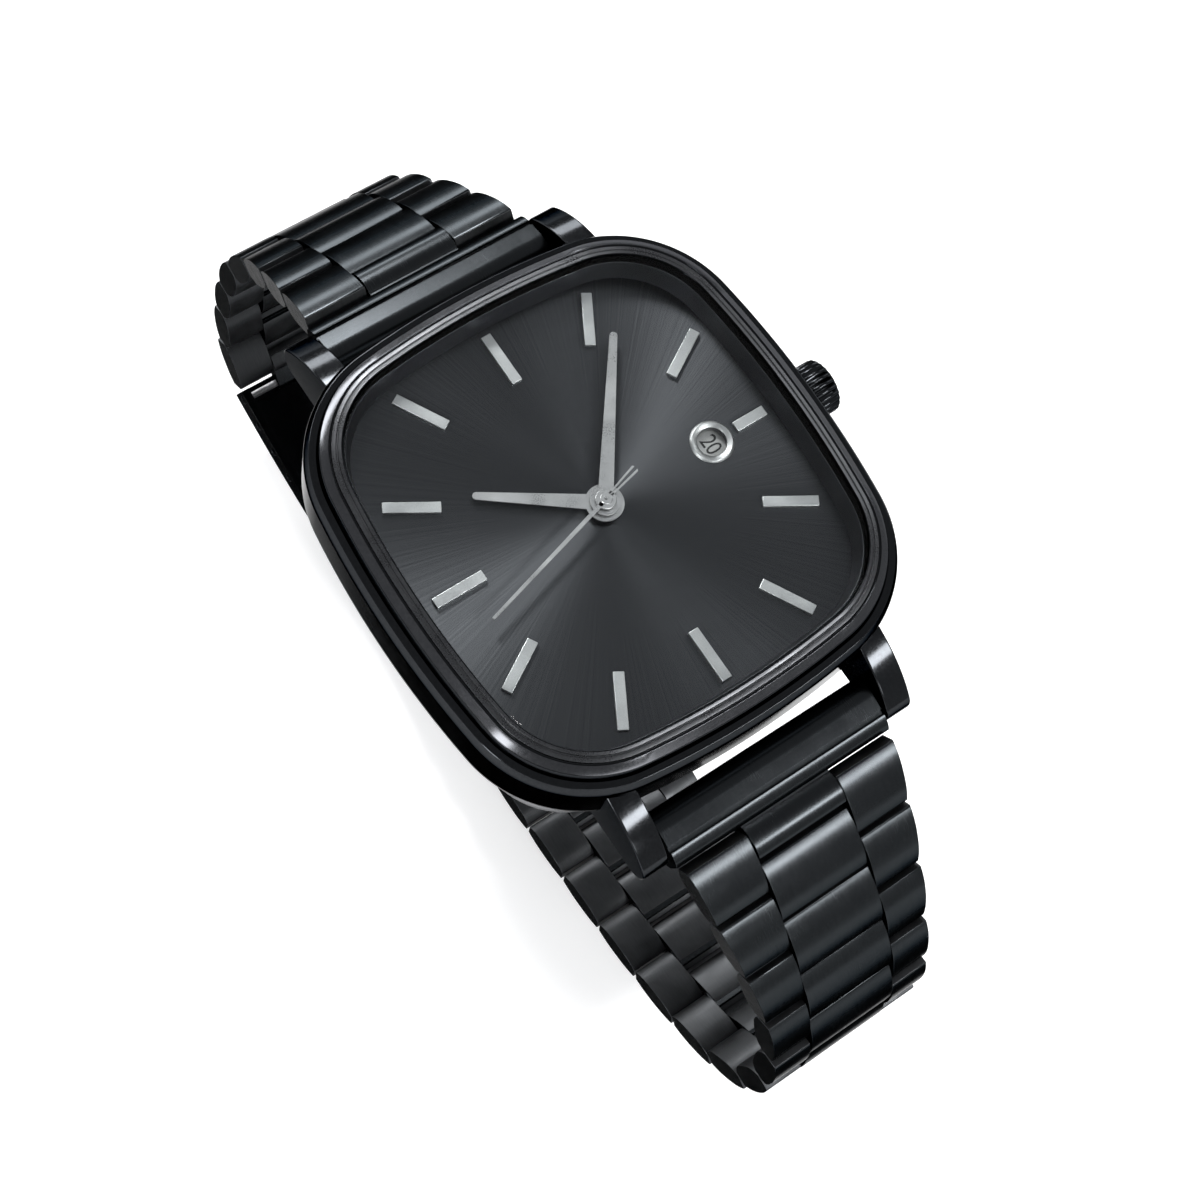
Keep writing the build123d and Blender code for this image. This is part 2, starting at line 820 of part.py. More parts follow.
def clasp_band(bottom, top, start, end):
    """Side view of a curved strip of the clasp, between two lifts and two positions."""
    middle = (start + end) / 2
    with BuildSketch(Plane.YZ) as band:
        with BuildLine():
            outside = ThreePointArc(
                clasp_point(start, top),
                clasp_point(middle, top),
                clasp_point(end, top),
            )
            inside = ThreePointArc(
                clasp_point(end, bottom),
                clasp_point(middle, bottom),
                clasp_point(start, bottom),
            )
            Line(outside @ 1, inside @ 0)
            Line(inside @ 1, outside @ 0)
        make_face()
    return band.sketch


def clasp_bar(position, lift, radius):
    """Side view of a pin or barrel across the clasp."""
    return small_round(radius, Plane.YZ, [clasp_point(position, lift)])


def clasp_bore(position, lift, radius):
    """Side view of a hole across the clasp."""
    return small_bore(radius, Plane.YZ, [clasp_point(position, lift)])


def side_pair(face, inner, outer):
    """Two equal pieces, one on each side of the clasp, from inner to outer half width."""
    right = extrude(Pos(inner, 0, 0) * face, amount=outer - inner, mode=Mode.PRIVATE)
    return right + mirror(right, about=Plane.YZ, mode=Mode.PRIVATE)


cover_inner_half = clasp_width / 2 - clasp_wall
knuckle_outer_half = knuckle_half_width + knuckle_gap
outer_blade_top = outer_blade_lift + blade_thickness
inner_blade_top = inner_blade_lift + blade_thickness
cover_end = clasp_length + cover_margin
hinge_bar = clasp_bar(hinge_position, hinge_lift, hinge_barrel_radius)
hinge_swing = clasp_bore(hinge_position, hinge_lift, hinge_barrel_radius + 2 * knuckle_gap)
fold_bar = clasp_bar(fold_position, fold_lift, fold_barrel_radius)
fold_swing = clasp_bore(fold_position, fold_lift, fold_barrel_radius + knuckle_gap)
hinge_hole = clasp_bore(hinge_position, hinge_lift, hinge_pin_radius + running_clearance)
fold_hole = clasp_bore(fold_position, fold_lift, fold_pin_radius + running_clearance)

# Cover: the curved plate with side walls that shows from outside.
hinge_leaf = clasp_band(
    hinge_lift,
    cover_bottom_lift,
    hinge_position - hinge_barrel_radius,
    hinge_position + hinge_barrel_radius,
)
cover_knuckles = side_pair(hinge_bar, knuckle_outer_half, cover_inner_half)
cover_leaves = side_pair(hinge_leaf, knuckle_outer_half, cover_inner_half)
with BuildPart() as clasp_cover:
    extrude(
        clasp_band(clasp_wall_lift, cover_top_lift, -cover_margin, cover_end),
        amount=clasp_width / 2,
        both=True,
    )
    cover_hollow = clasp_band(
        clasp_wall_lift - cut_overrun,
        cover_bottom_lift,
        -2 * cover_margin,
        cover_end + cover_margin,
    )
    extrude(cover_hollow, amount=cover_inner_half, both=True, mode=Mode.SUBTRACT)
    add(cover_knuckles)
    add(cover_leaves)
    extrude(hinge_hole, amount=cover_inner_half, both=True, mode=Mode.SUBTRACT)
    for hole_number in range(adjust_hole_count):
        extrude(
            clasp_bore(hole_number * adjust_hole_spacing, 0, clasp_bar_hole_radius),
            amount=clasp_width / 2,
            both=True,
            mode=Mode.SUBTRACT,
        )
save(clasp_cover.part, "clasp_cover")

# Pins of the cover: its hinge pin and the spring bar in the first adjusting hole.
with BuildPart() as cover_pins:
    extrude(
        clasp_bar(hinge_position, hinge_lift, hinge_pin_radius),
        amount=cover_inner_half - running_clearance,
        both=True,
    )
    extrude(
        clasp_bar(0, 0, clasp_bar_radius),
        amount=(clasp_width - clasp_wall) / 2,
        both=True,
    )
save(cover_pins.part, "cover_pins")

# Outer blade: hinged to the cover at one end and to the inner blade at the other.
with BuildPart() as outer_blade:
    extrude(
        clasp_band(outer_blade_lift, outer_blade_top, fold_position, hinge_position),
        amount=blade_half_width,
        both=True,
    )
    add(side_pair(hinge_swing, knuckle_half_width, clasp_width), mode=Mode.SUBTRACT)
    extrude(fold_swing, amount=knuckle_outer_half, both=True, mode=Mode.SUBTRACT)
    extrude(hinge_bar, amount=knuckle_half_width, both=True)
    add(side_pair(fold_bar, knuckle_outer_half, blade_half_width))
    extrude(hinge_hole, amount=knuckle_half_width, both=True, mode=Mode.SUBTRACT)
    extrude(fold_hole, amount=blade_half_width, both=True, mode=Mode.SUBTRACT)
save(outer_blade.part, "outer_blade")

# Inner blade: folds under the outer one and ends in two ears for the long strand.
ear_bar = clasp_bar(clasp_length, 0, ear_radius)
tongue_swing = clasp_bore(clasp_length, 0, ear_radius + 2 * knuckle_gap)
with BuildPart() as inner_blade:
    extrude(
        clasp_band(inner_blade_lift, inner_blade_top, fold_position, clasp_length),
        amount=blade_half_width,
        both=True,
    )
    add(side_pair(fold_swing, knuckle_half_width, clasp_width), mode=Mode.SUBTRACT)
    extrude(tongue_swing, amount=column_inner, both=True, mode=Mode.SUBTRACT)
    extrude(fold_bar, amount=knuckle_half_width, both=True)
    add(side_pair(ear_bar, column_inner, blade_half_width))
    extrude(fold_hole, amount=knuckle_half_width, both=True, mode=Mode.SUBTRACT)
    extrude(
        clasp_bore(clasp_length, 0, clasp_bar_hole_radius),
        amount=blade_half_width,
        both=True,
        mode=Mode.SUBTRACT,
    )
save(inner_blade.part, "inner_blade")

# Pin of the fold between the two blades.
with BuildPart() as fold_pin:
    extrude(
        clasp_bar(fold_position, fold_lift, fold_pin_radius),
        amount=blade_half_width,
        both=True,
    )
save(fold_pin.part, "fold_pin")
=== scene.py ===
from math import atan2, cos, hypot, pi, radians, sin, sqrt, tan

import bmesh
import bpy
from mathutils import Matrix, Vector


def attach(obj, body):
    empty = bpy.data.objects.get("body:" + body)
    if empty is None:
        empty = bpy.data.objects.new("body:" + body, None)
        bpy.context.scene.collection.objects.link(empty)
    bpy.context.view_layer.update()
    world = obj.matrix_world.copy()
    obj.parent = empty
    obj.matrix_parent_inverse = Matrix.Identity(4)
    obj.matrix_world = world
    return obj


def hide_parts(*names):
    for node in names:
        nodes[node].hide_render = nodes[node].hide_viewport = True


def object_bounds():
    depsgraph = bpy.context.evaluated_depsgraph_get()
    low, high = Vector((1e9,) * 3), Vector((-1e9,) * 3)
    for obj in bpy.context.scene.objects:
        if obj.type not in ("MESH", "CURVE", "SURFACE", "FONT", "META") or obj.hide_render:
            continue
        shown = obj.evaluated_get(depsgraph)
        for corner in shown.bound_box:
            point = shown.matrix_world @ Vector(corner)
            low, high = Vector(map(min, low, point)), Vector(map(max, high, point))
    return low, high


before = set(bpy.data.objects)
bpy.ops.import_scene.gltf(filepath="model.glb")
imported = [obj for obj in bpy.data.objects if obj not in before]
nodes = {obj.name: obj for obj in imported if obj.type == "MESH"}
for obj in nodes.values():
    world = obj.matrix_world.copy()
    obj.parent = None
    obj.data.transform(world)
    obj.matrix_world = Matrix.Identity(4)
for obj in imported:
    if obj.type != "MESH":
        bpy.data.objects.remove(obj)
cad_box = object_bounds()
scene = bpy.context.scene

# Shapes are worked out in millimetres, in the frame of the CAD, and turned
# into metres when a mesh is made.
MM = 0.001

# Case outline: side, end and corner arcs.
CASE_HALF_WIDTH = 19.25
CASE_HALF_HEIGHT = 20.05
SIDE_RADIUS = 82.0
END_RADIUS = 75.0
CORNER_RADIUS = 10.6
SIDE_STEPS = 10
CORNER_STEPS = 32
END_STEPS = 10

# Heights of the case above the case back's outer face.
BACK_TOP_Z = 1.0
DIAL_Z = 7.2
LEDGE_Z = 8.35
NECK_Z = 9.0
CRYSTAL_EDGE_Z = 9.76
BEZEL_TOP_Z = 9.85
CRYSTAL_TOP_Z = 9.9

# Insets from the case outline.
WALL_INSET = 2.4
BEZEL_INSET = 2.68
NECK_INSET = 2.73
CRYSTAL_TOP_INSET = 2.86
DIAL_SLOPE_INSET = 2.9

# Insets between which the bezel's polished slope, made paler as a painted highlight, and its
# satin top lie, and the height that the top's sides stay above.
BEZEL_SLOPE = (1.1, 1.68)
BEZEL_TOP = (1.9, 2.62)
GROOVE_Z = 9.5

# Lugs and spring bars, as in the CAD.
LUG_INNER_X = 10.25
LUG_OUTER_X = 12.55
LUG_ROOT_Y = 16.5
LUG_TOP_Z = 7.0
LUG_FOOT_Z = 1.15
LUG_TIP = (24.05, 3.9)
LUG_STEPS = 12
SPRING_BAR_Y = 22.2
SPRING_BAR_Z = 2.6

# Bracelet links, as in the CAD.
LINK_SPACING = 5.55
LINK_GAP = 0.25
LINK_EDGE = 0.95
LINK_CROWN = 1.4
LINK_UNDER = 1.15
LINK_HIP = -0.4
LINK_SLANT = 0.36
CENTRE_HALF = 4.1
COLUMN_INNER = 4.2
GROOVE_FLOOR = 0.6
BRIDGE_UNDER = 0.95
TONGUE_HALF = 0.65
TONGUE_STEPS = 12
PIN_RADIUS = 0.5
PIN_STEPS = 24
END_HALF_WIDTH = 10.0
CLASP_HALF_WIDTH = 7.75
TAPER_SHARES = (1.0, 0.86, 0.6, 0.3, 0.06, 0.0)

# Roundness of a column's crown and underside.
CROWN_LIFT = 0.03
CROWN_POWER = 2.4
CROWN_STEPS = 16
UNDER_POWER = 3.5
UNDER_STEPS = 12
UNDER_START = CROWN_STEPS + 1
COLUMN_POINTS = UNDER_START + UNDER_STEPS + 1

# End links, whose hood goes round the spring bar.
END_LINK_REACH = 4.4
END_LINK_NOSE = 1.65
END_GROOVE_START = 1.15
END_GROOVE_END = 1.6
END_GROOVE_DEPTH = 0.3
NOSE_START = 224
NOSE_SWEEP = 134
NOSE_STEPS = 20
HOOD_MIDDLE = (2.35, 1.42)
HOOD_STEPS = 8

# Slope of each link in degrees, from the case on.
SHOULDER_SLOPES = (15, 38, 45, 54, 66)
SHORT_SLOPES = SHOULDER_SLOPES + (79, 86, 98, 124)
LONG_SLOPES = SHOULDER_SLOPES + (83, 104, 127, 149, 162, 169, 173, 176, 179)

# Where a link's columns start and end along the strand, from its pivot.
OUTER_START = (LINK_GAP - LINK_SPACING / 2) / 2
OUTER_END = LINK_SPACING * 3 / 4 - LINK_GAP / 2
CENTRE_START = LINK_SPACING / 4 + LINK_GAP / 2
CENTRE_END = LINK_SPACING * 5 / 4 - LINK_GAP / 2

# Angles in degrees from which an edge counts as sharp.
SHARP = 33
SHARP_CASE = 80
SHARP_PANE = 20
SHARP_CROWN = 50

# Points of a CAD node closer than this are one, and its faces within this
# angle in degrees are one face, before its edges are rounded.
WELD_DISTANCE = 0.002
FLAT_ANGLE = 0.5

# The grain of the materials: the noise's range, and its scales per metre
# along x, y and z.
NOISE_LOW = 0.3
NOISE_HIGH = 0.7
NOISE_ROUGHNESS = 0.6
GRAIN_BUMP = 0.25
CLOUDS = (320, 320, 320)
POLISH = (5200, 5200, 5200)
PLATE = (7000, 7000, 7000)
SATIN = (9000, 9000, 9000)
FINE_SATIN = (12000, 12000, 12000)
FROST = (14000, 14000, 14000)
ALONG = (26000, 900, 900)
ACROSS = (900, 26000, 26000)

DIAL_DARK = (0.056, 0.058, 0.063)
DIAL_LIGHT = (0.08, 0.082, 0.087)
DIAL_ROUGHNESS = (0.3, 0.38)
DIAL_BRUSHING = 0.85
DIAL_RAYS = 90.0

GLASS_TINT = (0.97, 0.98, 0.98, 1)
GLASS_ROUGHNESS = 0.02
GLASS_IOR = 1.25

INK_DARK = (0.01, 0.01, 0.01)
INK_LIGHT = (0.02, 0.02, 0.02)
INK_ROUGHNESS = 0.5


# Materials.
class Maker:
    """A material under construction, with short ways to add its nodes."""

    def __init__(self, name):
        self.material = bpy.data.materials.new(name)
        self.material.use_nodes = True
        self.tree = self.material.node_tree
        self.shader = self.tree.nodes["Principled BSDF"]
        self.output = self.tree.nodes["Material Output"]

    def node(self, kind, **settings):
        made = self.tree.nodes.new(kind)
        for key, value in settings.items():
            setattr(made, key, value)
        return made

    def link(self, source, target):
        self.tree.links.new(source, target)

    def calculate(self, operation, first, second, **settings):
        """The result of two values, each a number or another node's output."""
        made = self.node("ShaderNodeMath", operation=operation, **settings)
        for socket, value in zip(made.inputs, (first, second)):
            if isinstance(value, bpy.types.NodeSocket):
                self.link(value, socket)
            else:
                socket.default_value = value
        return made.outputs["Value"]

    def coordinates(self, scale):
        """Object coordinates in metres, stretched by scale along each axis."""
        place = self.node("ShaderNodeTexCoord")
        mapping = self.node("ShaderNodeMapping")
        mapping.inputs["Scale"].default_value = scale
        self.link(place.outputs["Object"], mapping.inputs["Vector"])
        return mapping.outputs["Vector"]

    def noise(self, vector, detail):
        grain = self.node("ShaderNodeTexNoise")
        grain.inputs["Scale"].default_value = 1.0
        grain.inputs["Detail"].default_value = detail
        grain.inputs["Roughness"].default_value = NOISE_ROUGHNESS
        self.link(vector, grain.inputs["Vector"])
        return grain.outputs["Fac"]

    def spread(self, value, low, high):
        """A noise moved from its own range to low..high."""
        ranged = self.node("ShaderNodeMapRange")
        limits = {"From Min": NOISE_LOW, "From Max": NOISE_HIGH, "To Min": low, "To Max": high}
        for socket, number in limits.items():
            ranged.inputs[socket].default_value = number
        self.link(value, ranged.inputs["Value"])
        return ranged.outputs["Result"]

    def mix_colour(self, factor, first, second):
        mixed = self.node("ShaderNodeMix", data_type="RGBA")
        mixed.inputs["A"].default_value = (*first, 1)
        mixed.inputs["B"].default_value = (*second, 1)
        self.link(factor, mixed.inputs["Factor"])
        return mixed.outputs["Result"]

    def bump(self, height, strength, distance):
        raised = self.node("ShaderNodeBump")
        raised.inputs["Strength"].default_value = strength
        raised.inputs["Distance"].default_value = distance * MM
        self.link(height, raised.inputs["Height"])
        self.link(raised.outputs["Normal"], self.shader.inputs["Normal"])


def metal(name, dark, light, rough, brush, grain=0.2, depth=0.004, rim=1.0):
    """A metal between two colours and two roughnesses.

    brush is its grain's scale per metre along x, y and z, grain how unevenly it
    shines, depth the grain's height in millimetres and rim its reflection at a
    low angle.
    """
    maker = Maker(name)
    shader = maker.shader
    lines = maker.noise(maker.coordinates(brush), detail=4.0)
    clouds = maker.noise(maker.coordinates(CLOUDS), detail=2.0)
    colour = maker.mix_colour(maker.spread(lines, 0, 1), dark, light)
    maker.link(colour, shader.inputs["Base Color"])
    streaks = maker.spread(lines, *rough)
    smears = maker.spread(clouds, 1 - grain, 1 + grain)
    maker.link(maker.calculate("MULTIPLY", streaks, smears), shader.inputs["Roughness"])
    shader.inputs["Metallic"].default_value = 1.0
    shader.inputs["Specular Tint"].default_value = (rim, rim, rim, 1)
    maker.bump(lines, GRAIN_BUMP, depth)
    return maker.material


case_black = metal(
    "case_black_polish", (0.02, 0.021, 0.023), (0.026, 0.028, 0.03), (0.1, 0.15),
    POLISH, depth=0.001, rim=0.25,
)
# Same polished black as the case, a little paler and more mirroring at a low angle: a painted
# sheen on the lugs.
lug_painted_sheen = metal(
    "lug_black_polish", (0.022, 0.023, 0.025), (0.028, 0.03, 0.032), (0.1, 0.15),
    POLISH, depth=0.001, rim=0.35,
)
# Undersides of the links: a rougher satin, with a paler colour than the crowns as painted light
# on the inner side.
link_under_painted_light = metal(
    "link_under_satin", (0.04, 0.042, 0.044), (0.055, 0.057, 0.06), (0.38, 0.48),
    ALONG, depth=0.002, rim=0.4,
)
link_black = metal(
    "link_black_satin", (0.022, 0.0245, 0.0265), (0.029, 0.0315, 0.0335), (0.2, 0.27),
    ALONG, grain=0.1, depth=0.001, rim=0.25,
)
# Paler copy of the polished black: a painted highlight on the bezel's slope.
slope_painted_highlight = metal(
    "bezel_slope_polish", (0.06, 0.062, 0.067), (0.075, 0.077, 0.082), (0.14, 0.2),
    POLISH, depth=0.001, rim=0.4,
)
ring_satin = metal(
    "bezel_ring_satin", (0.055, 0.057, 0.061), (0.075, 0.077, 0.081), (0.26, 0.36),
    SATIN, rim=0.4,
)
slope_black = metal(
    "dial_slope_satin", (0.05, 0.052, 0.057), (0.065, 0.067, 0.072), (0.4, 0.5),
    FINE_SATIN, rim=0.5,
)
silver = metal("marker_silver", (0.5, 0.51, 0.51), (0.6, 0.61, 0.61), (0.34, 0.46), FROST)
frame_silver = metal(
    "date_frame_silver", (0.36, 0.365, 0.365), (0.44, 0.445, 0.445), (0.36, 0.46), FROST
)
hand_silver = metal(
    "hand_silver", (0.54, 0.54, 0.54), (0.64, 0.64, 0.64), (0.28, 0.4), FINE_SATIN
)
back_steel = metal(
    "back_brushed", (0.2, 0.202, 0.21), (0.28, 0.283, 0.29), (0.26, 0.4),
    ACROSS, depth=0.003, rim=0.35,
)
pin_steel = metal("pin_steel", (0.3, 0.3, 0.31), (0.38, 0.38, 0.39), (0.25, 0.35), ALONG)
blade_steel = metal(
    "blade_steel", (0.1, 0.102, 0.108), (0.15, 0.153, 0.16), (0.18, 0.28), ALONG, depth=0.002
)
movement_metal = metal(
    "movement_metal", (0.3, 0.29, 0.26), (0.4, 0.385, 0.35), (0.35, 0.5), PLATE
)
disc_silver = metal("disc_silver", (0.4, 0.4, 0.395), (0.5, 0.5, 0.49), (0.45, 0.6), SATIN)


def dial_material():
    """Black dial with fine lines that run out from the centre."""
    maker = Maker("dial_sunburst")
    shader = maker.shader
    place = maker.node("ShaderNodeTexCoord")
    parts = maker.node("ShaderNodeSeparateXYZ")
    maker.link(place.outputs["Object"], parts.inputs["Vector"])
    angle = maker.calculate("ARCTAN2", parts.outputs["Y"], parts.outputs["X"])
    rays = maker.node("ShaderNodeTexNoise", noise_dimensions="1D")
    rays.inputs["Scale"].default_value = DIAL_RAYS
    rays.inputs["Detail"].default_value = 5.0
    rays.inputs["Roughness"].default_value = 0.75
    maker.link(angle, rays.inputs["W"])
    lines = rays.outputs["Fac"]
    colour = maker.mix_colour(maker.spread(lines, 0, 1), DIAL_DARK, DIAL_LIGHT)
    maker.link(colour, shader.inputs["Base Color"])
    maker.link(maker.spread(lines, *DIAL_ROUGHNESS), shader.inputs["Roughness"])
    shader.inputs["Metallic"].default_value = 1.0
    shader.inputs["Anisotropic"].default_value = DIAL_BRUSHING
    around = maker.node("ShaderNodeTangent", direction_type="RADIAL", axis="Z")
    maker.link(around.outputs["Tangent"], shader.inputs["Tangent"])
    return maker.material


def glass_material():
    """Clear pane: what is behind it shows, and its outer face mirrors a little."""
    maker = Maker("crystal_glass")
    maker.tree.nodes.remove(maker.shader)
    clear = maker.node("ShaderNodeBsdfTransparent")
    clear.inputs["Color"].default_value = GLASS_TINT
    gloss = maker.node("ShaderNodeBsdfGlossy")
    gloss.inputs["Roughness"].default_value = GLASS_ROUGHNESS
    mirror = maker.node("ShaderNodeFresnel")
    mirror.inputs["IOR"].default_value = GLASS_IOR
    face = maker.node("ShaderNodeNewGeometry")
    outer = maker.calculate("SUBTRACT", 1.0, face.outputs["Backfacing"])
    mixed = maker.node("ShaderNodeMixShader")
    maker.link(maker.calculate("MULTIPLY", mirror.outputs["Fac"], outer), mixed.inputs["Fac"])
    maker.link(clear.outputs["BSDF"], mixed.inputs[1])
    maker.link(gloss.outputs["BSDF"], mixed.inputs[2])
    maker.link(mixed.outputs["Shader"], maker.output.inputs["Surface"])
    return maker.material


def ink_material():
    """Printed black of the date's figures."""
    maker = Maker("date_ink")
    speckle = maker.noise(maker.coordinates(SATIN), detail=3.0)
    colour = maker.mix_colour(maker.spread(speckle, 0, 1), INK_DARK, INK_LIGHT)
    maker.link(colour, maker.shader.inputs["Base Color"])
    maker.shader.inputs["Roughness"].default_value = INK_ROUGHNESS
    return maker.material


dial_black = dial_material()
glass = glass_material()
date_ink = ink_material()


# Meshes.
def add_mesh(
    name, verts, faces, materials, body, stands_for=(), edge=0.0, choices=None, sharp=SHARP
):
    """A piece from points in millimetres that rides on a body.

    edge is the width of its rounded edges, choices the material of each face and
    sharp the angle from which an edge is sharp.
    """
    mesh = bpy.data.meshes.new(name)
    mesh.from_pydata([Vector(v) * MM for v in verts], [], faces)
    for material in materials:
        mesh.materials.append(material)
    if choices:
        mesh.polygons.foreach_set("material_index", choices)
    shape = bmesh.new()
    shape.from_mesh(mesh)
    bmesh.ops.recalc_face_normals(shape, faces=shape.faces)
    shape.to_mesh(mesh)
    shape.free()
    mesh.polygons.foreach_set("use_smooth", [True] * len(mesh.polygons))
    piece = bpy.data.objects.new(name, mesh)
    scene.collection.objects.link(piece)
    finish_edges(piece, edge, sharp)
    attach(piece, body)
    if stands_for:
        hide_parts(*stands_for)


def finish_edges(piece, edge, sharp=SHARP):
    """Round a piece's sharp edges, and keep its flat faces flat to the light."""
    if edge:
        bevel = piece.modifiers.new("edges", "BEVEL")
        bevel.width = edge * MM
        bevel.segments = 2
        bevel.limit_method = "ANGLE"
        bevel.angle_limit = radians(sharp)
        bevel.miter_outer = "MITER_ARC"
    else:
        piece.data.set_sharp_from_angle(angle=radians(sharp))
    weights = piece.modifiers.new("shading", "WEIGHTED_NORMAL")
    weights.keep_sharp = not edge


def dress(node, material, edge=0.0):
    """Give a CAD node a material, and where edge is set, rounded edges."""
    piece = nodes[node]
    piece.data.materials.clear()
    piece.data.materials.append(material)
    if edge:
        weld = piece.modifiers.new("weld", "WELD")
        weld.merge_threshold = WELD_DISTANCE * MM
        flat = piece.modifiers.new("flat", "DECIMATE")
        flat.decimate_type = "DISSOLVE"
        flat.angle_limit = radians(FLAT_ANGLE)
        finish_edges(piece, edge)


def rounded(corners, steps=4):
    """A closed line through corners (x, y, radius), each corner rounded."""
    points = []
    for number, (x, y, radius) in enumerate(corners):
        here = Vector((x, y))
        if not radius:
            points.append((x, y))
            continue
        back = (Vector(corners[number - 1][:2]) - here).normalized()
        onward = (Vector(corners[(number + 1) % len(corners)][:2]) - here).normalized()
        half = back.angle(onward) / 2
        centre = here + (back + onward).normalized() * (radius / sin(half))
        first = here + back * (radius / tan(half)) - centre
        turn = first.angle_signed(here + onward * (radius / tan(half)) - centre)
        for step in range(steps + 1):
            angle = -turn * step / steps
            points.append(
                (
                    centre.x + first.x * cos(angle) - first.y * sin(angle),
                    centre.y + first.x * sin(angle) + first.y * cos(angle),
                )
            )
    return points


def sides_of(line):
    """Each side of a closed line, as its two ends."""
    return zip(line, line[1:] + line[:1])


def arc_through(a, b, c, steps):
    """Points of the arc from a to c by way of b."""
    rises = (b[1] - c[1], c[1] - a[1], a[1] - b[1])
    runs = (c[0] - b[0], a[0] - c[0], b[0] - a[0])
    d = 2 * sum(p[0] * q for p, q in zip((a, b, c), rises))
    ux = sum(p[0] ** 2 * q + p[1] ** 2 * q for p, q in zip((a, b, c), rises)) / d
    uy = sum(p[0] ** 2 * q + p[1] ** 2 * q for p, q in zip((a, b, c), runs)) / d
    radius = hypot(a[0] - ux, a[1] - uy)
    start, end = (atan2(p[1] - uy, p[0] - ux) for p in (a, c))
    sweep = (end - start + pi) % (2 * pi) - pi
    angles = [start + sweep * k / steps for k in range(steps + 1)]
    return [(ux + radius * cos(angle), uy + radius * sin(angle)) for angle in angles]


def band_faces(rows, count, closed=False):
    """Faces between rows of count points; closed joins the last row to the first."""
    faces = []
    for row in range(rows if closed else rows - 1):
        base, above = row * count, (row + 1) % rows * count
        for k in range(count):
            after = (k + 1) % count
            faces.append((base + k, base + after, above + after, above + k))
    return faces


def merged(*solids):
    """Several solids as one list of points and one of faces."""
    verts, faces = [], []
    for points, polygons in solids:
        base = len(verts)
        verts += points
        faces += [tuple(base + k for k in face) for face in polygons]
    return verts, faces


def prism(line, low, high, place):
    """A solid between two copies of a closed line (a, b), with its ends at low(a) and high(a)."""
    count = len(line)
    verts = [place(a, b, low(a)) for a, b in line] + [place(a, b, high(a)) for a, b in line]
    faces = band_faces(2, count)
    faces += [tuple(range(count)), tuple(range(2 * count - 1, count - 1, -1))]
    return verts, faces


def level(value):
    """A prism end that doesn't slant."""
    return lambda a: value


# Case outline: where its arcs meet.
side_x = CASE_HALF_WIDTH - SIDE_RADIUS
end_y = CASE_HALF_HEIGHT - END_RADIUS
side_reach = SIDE_RADIUS - CORNER_RADIUS
end_reach = END_RADIUS - CORNER_RADIUS
spacing = hypot(side_x, end_y)
along = (side_reach**2 - end_reach**2 + spacing**2) / (2 * spacing)
off = sqrt(side_reach**2 - along**2)
corner_x = side_x - (side_x * along + end_y * off) / spacing
corner_y = (end_y * along - side_x * off) / spacing
side_turn = atan2(corner_y, corner_x - side_x)
end_turn = atan2(corner_x, corner_y - end_y)


def outline_quarter():
    """Arc centre, radius and angle of each outline point from 3 o'clock to 12 o'clock."""
    corner_turn = pi / 2 - side_turn - end_turn
    points = [(side_x, 0, SIDE_RADIUS, side_turn * k / SIDE_STEPS) for k in range(SIDE_STEPS)]
    points += [
        (corner_x, corner_y, CORNER_RADIUS, side_turn + corner_turn * k / CORNER_STEPS)
        for k in range(CORNER_STEPS)
    ]
    points += [
        (0, end_y, END_RADIUS, pi / 2 - end_turn + end_turn * k / END_STEPS)
        for k in range(END_STEPS + 1)
    ]
    return points


quarter = outline_quarter()
outline = quarter[:-1]
outline += [(-x, y, r, pi - a) for x, y, r, a in reversed(quarter)][:-1]
outline += [(-x, -y, r, pi + a) for x, y, r, a in quarter][:-1]
outline += [(x, -y, r, -a) for x, y, r, a in reversed(quarter)][:-1]


def outline_at(inset, z):
    """The case outline drawn in by inset, at height z."""
    return [(x + (r - inset) * cos(a), y + (r - inset) * sin(a), z) for x, y, r, a in outline]


def swept_ring(profile):
    """A solid that a closed line of (inset, z) makes round the case outline."""
    verts = [point for inset, z in profile for point in outline_at(inset, z)]
    return verts, band_faces(len(profile), len(outline), closed=True)


# Bezel: black flank, a polished slope made paler as a painted highlight, and a satin top cut by
# two grooves.
# Corners are (inset, z, radius).
bezel_line = rounded(
    [
        (0.8, LEDGE_Z, 0.05),
        (1.03, 9.08, 0.22),
        (1.7, 9.55, 0.05),
        (1.75, 9.48, 0.02),
        (1.85, 9.48, 0.02),
        (1.91, 9.6, 0.03),
        (2.2, 9.69, 0.03),
        (2.24, 9.63, 0.02),
        (2.34, 9.64, 0.02),
        (2.39, 9.76, 0.03),
        (2.6, 9.84, 0.03),
        (BEZEL_INSET, BEZEL_TOP_Z - 0.02, 0.02),
        (BEZEL_INSET, LEDGE_Z, 0.03),
    ]
)
# Choice 2 gives the slope its paler colour, a painted highlight.
choices = []
for (inset_a, z_a), (inset_b, z_b) in sides_of(bezel_line):
    inset = (inset_a + inset_b) / 2
    if BEZEL_TOP[0] < inset < BEZEL_TOP[1] and min(z_a, z_b) > GROOVE_Z:
        choice = 1
    elif BEZEL_SLOPE[0] < inset < BEZEL_SLOPE[1]:
        choice = 2
    else:
        choice = 0
    choices += [choice] * len(outline)
verts, faces = swept_ring(bezel_line)
add_mesh(
    "bezel_ring", verts, faces, [case_black, ring_satin, slope_painted_highlight],
    "case", ["bezel"], choices=choices, sharp=SHARP_CASE,
)

